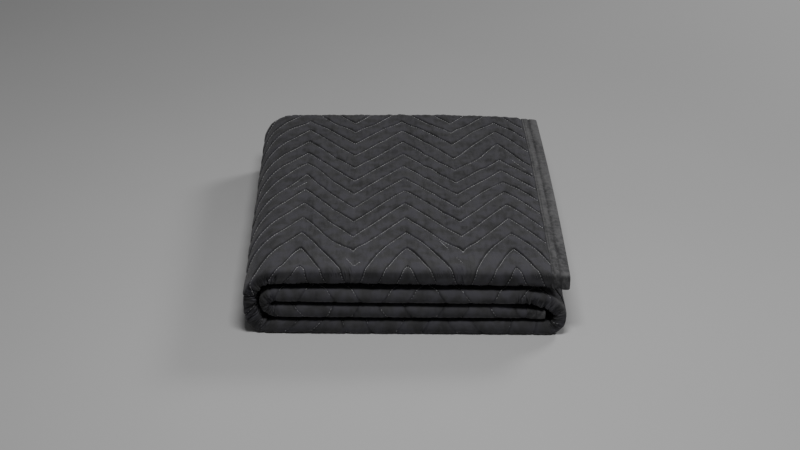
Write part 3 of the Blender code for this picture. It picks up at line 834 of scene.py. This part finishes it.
def bind_end(name, at_end, step, face_painted_light, fold_painted_light):
    """Tape over one end of the cloth, all the way round the letter fold."""
    end, inward = (LENGTH, -1.0) if at_end else (0.0, 1.0)
    m = marks_at(end + inward * 0.015)
    folds = [(-m.over - 0.004, m.over + 0.004, 0.0016), (m.back - 0.004, m.under + 0.004, 0.0016)]
    along = marks_along(m.low_edge + 0.001, m.high_edge - 0.001, step, folds)

    def at(v, in_from, height):
        return place(end + inward * in_from, v, height)

    def painted_light_along(v):
        # Darker towards the front, and darkest round the front fold, where this is painted shade.
        face = face_painted_light * (1.0 - 0.34 * fall(v, 0.02, 0.3))
        return face + (fold_painted_light - face) * fall(v, m.over * 0.45, m.over * 0.75)

    return sweep_tape(name, along, at, painted_light_along)


def bind_side(name, at_back, step, side_painted_light):
    """Tape over one long edge of the cloth, between the two bound ends."""
    dense = [(start - 0.01, end + 0.01, min(step, 0.0025)) for start, end in TURN_SPANS]
    along = marks_along(TAPE_WIDTH + 0.0003, LENGTH - TAPE_WIDTH - 0.0003, step, dense)

    def at(s, in_from, height):
        m = marks_at(s)
        return place(s, m.low_edge + in_from if at_back else m.high_edge - in_from, height)

    return sweep_tape(name, along, at, lambda s: side_painted_light)


TAPES = {
    "end_binding_top": bind_end("end_tape_top", True, 0.004, 1.05, 0.32),
    "end_binding_inside": bind_end("end_tape_inside", False, 0.008, 0.05, 0.05),
    "side_binding_rear": bind_side("side_tape_rear", True, 0.006, 0.8),
    "side_binding_tucked": bind_side("side_tape_tucked", False, 0.012, 0.6),
}
for node, tape in TAPES.items():
    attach(tape, "root")
    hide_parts(node)


# %% Sew the tape down
def seam_run(s, v, shows, seed):
    return stitches_along(s, v, SEAM_HEIGHT, shows, seed, pitch=SEAM_PITCH)


# One seam along the end that lies on top, and one along the edge at the back where that shows.
end_in = LENGTH - SEAM_IN
end_v = np.arange(-0.012, marks_at(end_in).under, SAMPLE_STEP)
side_s = np.arange(TAPE_WIDTH, LENGTH - TAPE_WIDTH, SAMPLE_STEP)
side_v = marks_at(side_s).low_edge + SEAM_IN
seams = add_stitches("tape_seams", [
    seam_run(np.full(len(end_v), end_in), end_v, True, 700),
    seam_run(side_s, side_v, side_s > LEFT_START, 701)], SEAM_RADIUS)
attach(seams, "root")

# %% [markdown]
# ## A small tool for finishes
# A finish is sums: a weave here, more fluff there, darker where both meet. In the node editor each
# sum is a box to wire up. This class wraps an output socket, so that the sum is written as one.

# %% Sockets that can be added up
# Soft noise: how it is squeezed along and across, its features' size, the values that are made 0
# and 1, its detail and its roughness.
Pattern = namedtuple("Pattern", "along across size low high detail roughness",
                     defaults=(None, None, 2.0, 0.5))


class Wire:
    """An output socket of a node tree, or the bare tree while socket is None."""

    def __init__(self, tree, socket=None):
        self.tree, self.socket = tree, socket

    def node(self, kind, settings, sockets, out=0):
        """Adds a node of this kind, with its settings and its sockets' values or links."""
        made = self.tree.nodes.new("ShaderNode" + kind)
        for name, value in settings.items():
            setattr(made, name, value)
        for name, value in sockets.items():
            if isinstance(value, Wire):
                self.tree.links.new(value.socket, made.inputs[name])
            else:
                made.inputs[name].default_value = value
        return Wire(self.tree, made.outputs[out])

    def maths(self, operation, *values):
        return self.node("Math", {"operation": operation}, dict(enumerate(values)))

    __add__ = __radd__ = lambda self, other: self.maths("ADD", self, other)
    __sub__ = lambda self, other: self.maths("SUBTRACT", self, other)
    __rsub__ = lambda self, other: self.maths("SUBTRACT", other, self)
    __mul__ = __rmul__ = lambda self, other: self.maths("MULTIPLY", self, other)
    __abs__ = lambda self: self.maths("ABSOLUTE", self)

    def wave(self, pitch):
        return self.maths("SINE", self * (2.0 * math.pi / pitch))

    def above(self, low, high):
        """0 below low, 1 above high, eased between."""
        return self.node("MapRange", {"interpolation_type": "SMOOTHSTEP"},
                         {"Value": self, "From Min": low, "From Max": high})

    def below(self, low, high):
        return 1 - self.above(low, high)

    def pattern(self, p):
        """Soft noise from 0 to 1 at this vector's places."""
        places = self.node("VectorMath", {"operation": "MULTIPLY"},
                           {0: self, 1: (p.along, p.across, 0.0)})
        noise = places.node("TexNoise", {}, {"Vector": places, "Scale": 1.0 / p.size,
                                             "Detail": p.detail, "Roughness": p.roughness})
        return noise if p.low is None else noise.above(p.low, p.high)

    def blend(self, dark, light):
        return self.node("Mix", {"data_type": "RGBA"}, {0: self, 6: dark, 7: light}, out=2)


def start_finish(name, roughness, sheen=0.0, sheen_roughness=0.5):
    material = bpy.data.materials.new(name)
    material.use_nodes = True
    inputs = material.node_tree.nodes["Principled BSDF"].inputs
    for socket, value in {"Roughness": roughness, "Sheen Weight": sheen,
                          "Sheen Roughness": sheen_roughness, "Specular IOR Level": 0.25}.items():
        inputs[socket].default_value = value
    return material, Wire(material.node_tree)


def flat_places(tree):
    """The flat places kept on the mesh: the vector, then its three numbers."""
    flat = tree.node("Attribute", {"attribute_name": "flat"}, {}, out=1)
    numbers = tree.node("SeparateXYZ", {}, {0: flat}).socket.node.outputs
    return flat, *(Wire(tree.tree, number) for number in numbers)


def end_finish(material, colour, height, relief, roughness=None):
    tree = material.node_tree
    bump = Wire(tree).node("Bump", {}, {"Height": height, "Distance": relief, "Strength": 1.0})
    inputs = tree.nodes["Principled BSDF"].inputs
    for name, wire in {"Base Color": colour, "Normal": bump, "Roughness": roughness}.items():
        if wire is not None:
            tree.links.new(wire.socket, inputs[name])
    print(f"{material.name}: {len(tree.nodes)} nodes")
    return material


# %% [markdown]
# ## The cloth's finish
# The face cloth is a charcoal polyester, woven fine and brushed, so the yarns only just show through
# a short fluff. The brushed pile lies this way and that, which leaves soft patches and streaks.
# Painted shade darkens the cloth beside the stitches, on the front fold and in that fold's creases
# round the turns, and a painted highlight lightens the top just behind the front fold. The pattern
# is laid on the flat cloth's own lengths, so it bends with it.

# %% Charcoal cloth
CLOTH_DARK, CLOTH_LIGHT = (0.025, 0.025, 0.0262, 1.0), (0.086, 0.085, 0.088, 1.0)
COOL_DARK, COOL_LIGHT = (0.024, 0.0235, 0.029, 1.0), (0.079, 0.077, 0.089, 1.0)
TWO_YARNS = 0.0022  # two yarns and their gaps
PATCHES = Pattern(1.0, 1.0, 0.021, 0.34, 0.66)
CLOUDS = Pattern(1.0, 1.0, 0.07, 0.35, 0.65)
STREAKS = Pattern(1.0, 0.2, 0.006, 0.3, 0.7)
FLUFF = Pattern(1.0, 0.6, 0.0011, detail=3.0, roughness=0.65)
CREASES = Pattern(1.0, 0.12, 0.0042, detail=1.0)


def weave(s, v):
    """Yarns that go over and under each other, from 0 between them to 1 on their middles."""
    over_under = (s.wave(TWO_YARNS) * v.wave(TWO_YARNS)).above(-0.35, 0.35)
    return over_under * abs(s.wave(TWO_YARNS)) + (1 - over_under) * abs(v.wave(TWO_YARNS))


def cloth_finish():
    material, tree = start_finish("charcoal_cloth", 0.92, 0.12, 0.45)
    flat, s, v, past_row = flat_places(tree)
    patches, clouds, fluff = flat.pattern(PATCHES), flat.pattern(CLOUDS), flat.pattern(FLUFF)
    off_fold = abs(v).above(0.01, 0.03)
    streaks = 0.5 + (flat.pattern(STREAKS) - 0.5) * (0.25 + 0.75 * off_fold)
    yarns = weave(s, v)
    # Painted shade just past each row of stitches, deepest in front where the cloth is fullest.
    past_painted_shade = past_row.above(0.0005, 0.0045)
    in_sight = s.above(LEFT_START, LEFT_START + 0.05)
    near_front = abs(v - 0.015).below(0.045, 0.085)
    painted_front_shade = past_row.below(0.001, 0.0034) * near_front * in_sight
    # Round the front fold on top: painted shade on the fold, and a painted highlight on the top just
    # behind it.
    painted_fold_shade = v.above(-0.003, 0.003) * v.below(0.0055, 0.008) * in_sight
    painted_light = v.above(0.007, 0.012) * v.below(0.04, 0.08) * in_sight
    # Creases where the front fold goes round a turn: bumped in, and darkened with painted shade.
    turning = sum(s.above(start - 0.004, start + 0.006) * s.below(end - 0.006, end + 0.004)
                  for start, end in TURN_SPANS)
    on_fold = turning * abs(v).below(0.012, 0.022) * v.below(-0.004, 0.01)
    crease = abs(flat.pattern(CREASES) - 0.5).below(0.0, 0.09) * on_fold
    tone = 0.42 * patches + 0.16 * clouds + 0.26 * streaks + 0.2 * fluff + 0.05 * yarns
    tone = tone + 0.32 * past_painted_shade - 0.4 * painted_front_shade - 0.28 * painted_fold_shade + 0.14 * painted_light
    tone -= 0.8 * crease
    colour = tone.above(0.14, 1.3).blend(patches.blend(CLOTH_DARK, COOL_DARK),
                                          patches.blend(CLOTH_LIGHT, COOL_LIGHT))
    height = 0.45 * yarns + 0.55 * fluff + 0.9 * streaks + 0.8 * patches - 4.0 * crease
    return end_finish(material, colour, height, 0.00035, roughness=0.82 + 0.15 * fluff)


quilt.data.materials.append(cloth_finish())

# %% [markdown]
# ## The tape's finish
# The tape is a paler grey, with stout ribs along it that catch the light as fine streaks. Its
# groove, and the end tape where it goes round the front fold, are darkened with painted shade.

# %% Grey ribbed tape
TAPE_DARK, TAPE_LIGHT = (0.03, 0.0298, 0.032, 1.0), (0.166, 0.165, 0.168, 1.0)
RIB, PICK = 0.0014, 0.0009  # from one rib to the next, and from one crossing thread to the next
TAPE_STREAKS = Pattern(0.05, 1.0, 0.0012, roughness=0.6)
TAPE_PATCHES = Pattern(1.0, 1.0, 0.0075, 0.34, 0.66, 3.0, 0.6)
LONG_PATCHES = Pattern(0.25, 1.0, 0.016, 0.35, 0.65)


def tape_finish():
    material, tree = start_finish("grey_tape", 0.8, 0.12, 0.4)
    flat, along, across, painted_light = flat_places(tree)
    ribs = across.wave(RIB) * 0.5 + 0.5
    picks = along.wave(PICK) * 0.5 + 0.5
    streaks = flat.pattern(TAPE_STREAKS)
    tone = 0.22 * streaks + 0.34 * flat.pattern(TAPE_PATCHES) + 0.24 * flat.pattern(LONG_PATCHES)
    # The profile's paleness is painted shade in the groove and round the front fold.
    tone = tone + 0.1 * ribs + 0.05 * picks + 0.4 * painted_light - 0.2
    height = ribs + 0.25 * picks + 0.6 * streaks
    return end_finish(material, tone.above(0.0, 1.0).blend(TAPE_DARK, TAPE_LIGHT), height, 0.0003)


grey_tape = tape_finish()
for tape in TAPES.values():
    tape.data.materials.append(grey_tape)

# %% [markdown]
# ## The thread's finish
# Quilting thread is spun of three plies, so a stitch has slanting ridges. Some stitches are paler
# than others, as they pick up fluff from the cloth. Those that a fold has drawn in are darkened
# with painted shade.

# %% Pale thread, and the tape's darker one
THREAD_DARK, THREAD_LIGHT = (0.2, 0.2, 0.206, 1.0), (0.66, 0.66, 0.67, 1.0)
SEAM_DARK, SEAM_LIGHT = (0.024, 0.024, 0.025, 1.0), (0.11, 0.11, 0.112, 1.0)


def thread_finish(name, dark, light):
    material, tree = start_finish(name, 0.6)
    along, around, tone = flat_places(tree)[1:]
    plies = (along * 5.0 + around * 3.0).wave(1.0) * 0.5 + 0.5
    colour = (0.75 * tone + 0.25 * plies).blend(dark, light)
    return end_finish(material, colour, plies, 0.0001)


stitches.data.materials.append(thread_finish("pale_thread", THREAD_DARK, THREAD_LIGHT))
seams.data.materials.append(thread_finish("tape_thread", SEAM_DARK, SEAM_LIGHT))

# %% [markdown]

# %% [markdown]
# ## Floor, light and camera
# A pale floor, a broad soft light from above and behind on the right, which shades the near side of
# every row, and a smaller one high up in front.

# %% The stage
FLOOR_HALF = 6.0
FLOOR_CLOUDS = Pattern(1.0, 1.0, 0.5)
FLOOR_DARK, FLOOR_LIGHT = (0.6, 0.6, 0.6, 1.0), (0.64, 0.64, 0.64, 1.0)
WORLD_STRENGTH = 0.08

# The lamps: name, width and height, watts, where it hangs and where it aims.
LAMPS = (
    ("key", (1.1, 0.8), 41.0, (2.45, 2.15, 2.04), (0.0, 0.0, 0.06)),
    ("front", (0.7, 0.35), 15.5, (0.05, -0.77, 1.67), (0.0, -0.2, 0.06)),
)


def build_floor():
    mesh = bpy.data.meshes.new("floor")
    corners = [(-1, -1), (1, -1), (1, 1), (-1, 1)]
    mesh.from_pydata([(x * FLOOR_HALF, y * FLOOR_HALF, 0.0) for x, y in corners], [], [(0, 1, 2, 3)])
    material, tree = start_finish("pale_floor", 0.7)
    clouds = tree.node("TexCoord", {}, {}, out=3).pattern(FLOOR_CLOUDS)
    colour = clouds.blend(FLOOR_DARK, FLOOR_LIGHT)
    mesh.materials.append(end_finish(material, colour, clouds, 0.0001))
    return put("floor", mesh)


def hang_lamp(name, size, power, at, aim):
    data = bpy.data.lights.new(name, "AREA")
    data.shape = "RECTANGLE"
    data.size, data.size_y = size
    data.energy = power
    lamp = put(name, data)
    lamp.location = at
    lamp.rotation_euler = (Vector(aim) - Vector(at)).to_track_quat("-Z", "Y").to_euler()
    print(name, "lamp,", power, "W")


build_floor()
for row in LAMPS:
    hang_lamp(*row)
world = bpy.data.worlds.new("studio")
world.use_nodes = True
background = world.node_tree.nodes["Background"].inputs
background["Color"].default_value = (1.0, 1.0, 1.0, 1.0)
background["Strength"].default_value = WORLD_STRENGTH
bpy.context.scene.world = world

# %% The camera
FRAME_WIDTH = 800
FOCAL_PIXELS = 1615.0  # the lens, as a distance in pixels of the frame
SENSOR = 36.0
CAMERA_AT = Vector((-0.0643, -2.4997, 1.3636))
DOWN, RIGHTWARD, ROLL = math.radians(27.949), math.radians(1.337), math.radians(0.988)

camera_data = bpy.data.cameras.new("camera")
camera_data.sensor_width = SENSOR
camera_data.lens = SENSOR * FOCAL_PIXELS / FRAME_WIDTH
camera = put("camera", camera_data)
turned = (Matrix.Rotation(-RIGHTWARD, 4, "Z") @ Matrix.Rotation(math.pi / 2 - DOWN, 4, "X")
          @ Matrix.Rotation(ROLL, 4, "Z"))
camera.matrix_world = Matrix.Translation(CAMERA_AT) @ turned
bpy.context.scene.camera = camera
print(f"a {camera_data.lens:.1f} mm lens on a {SENSOR:.0f} mm sensor")
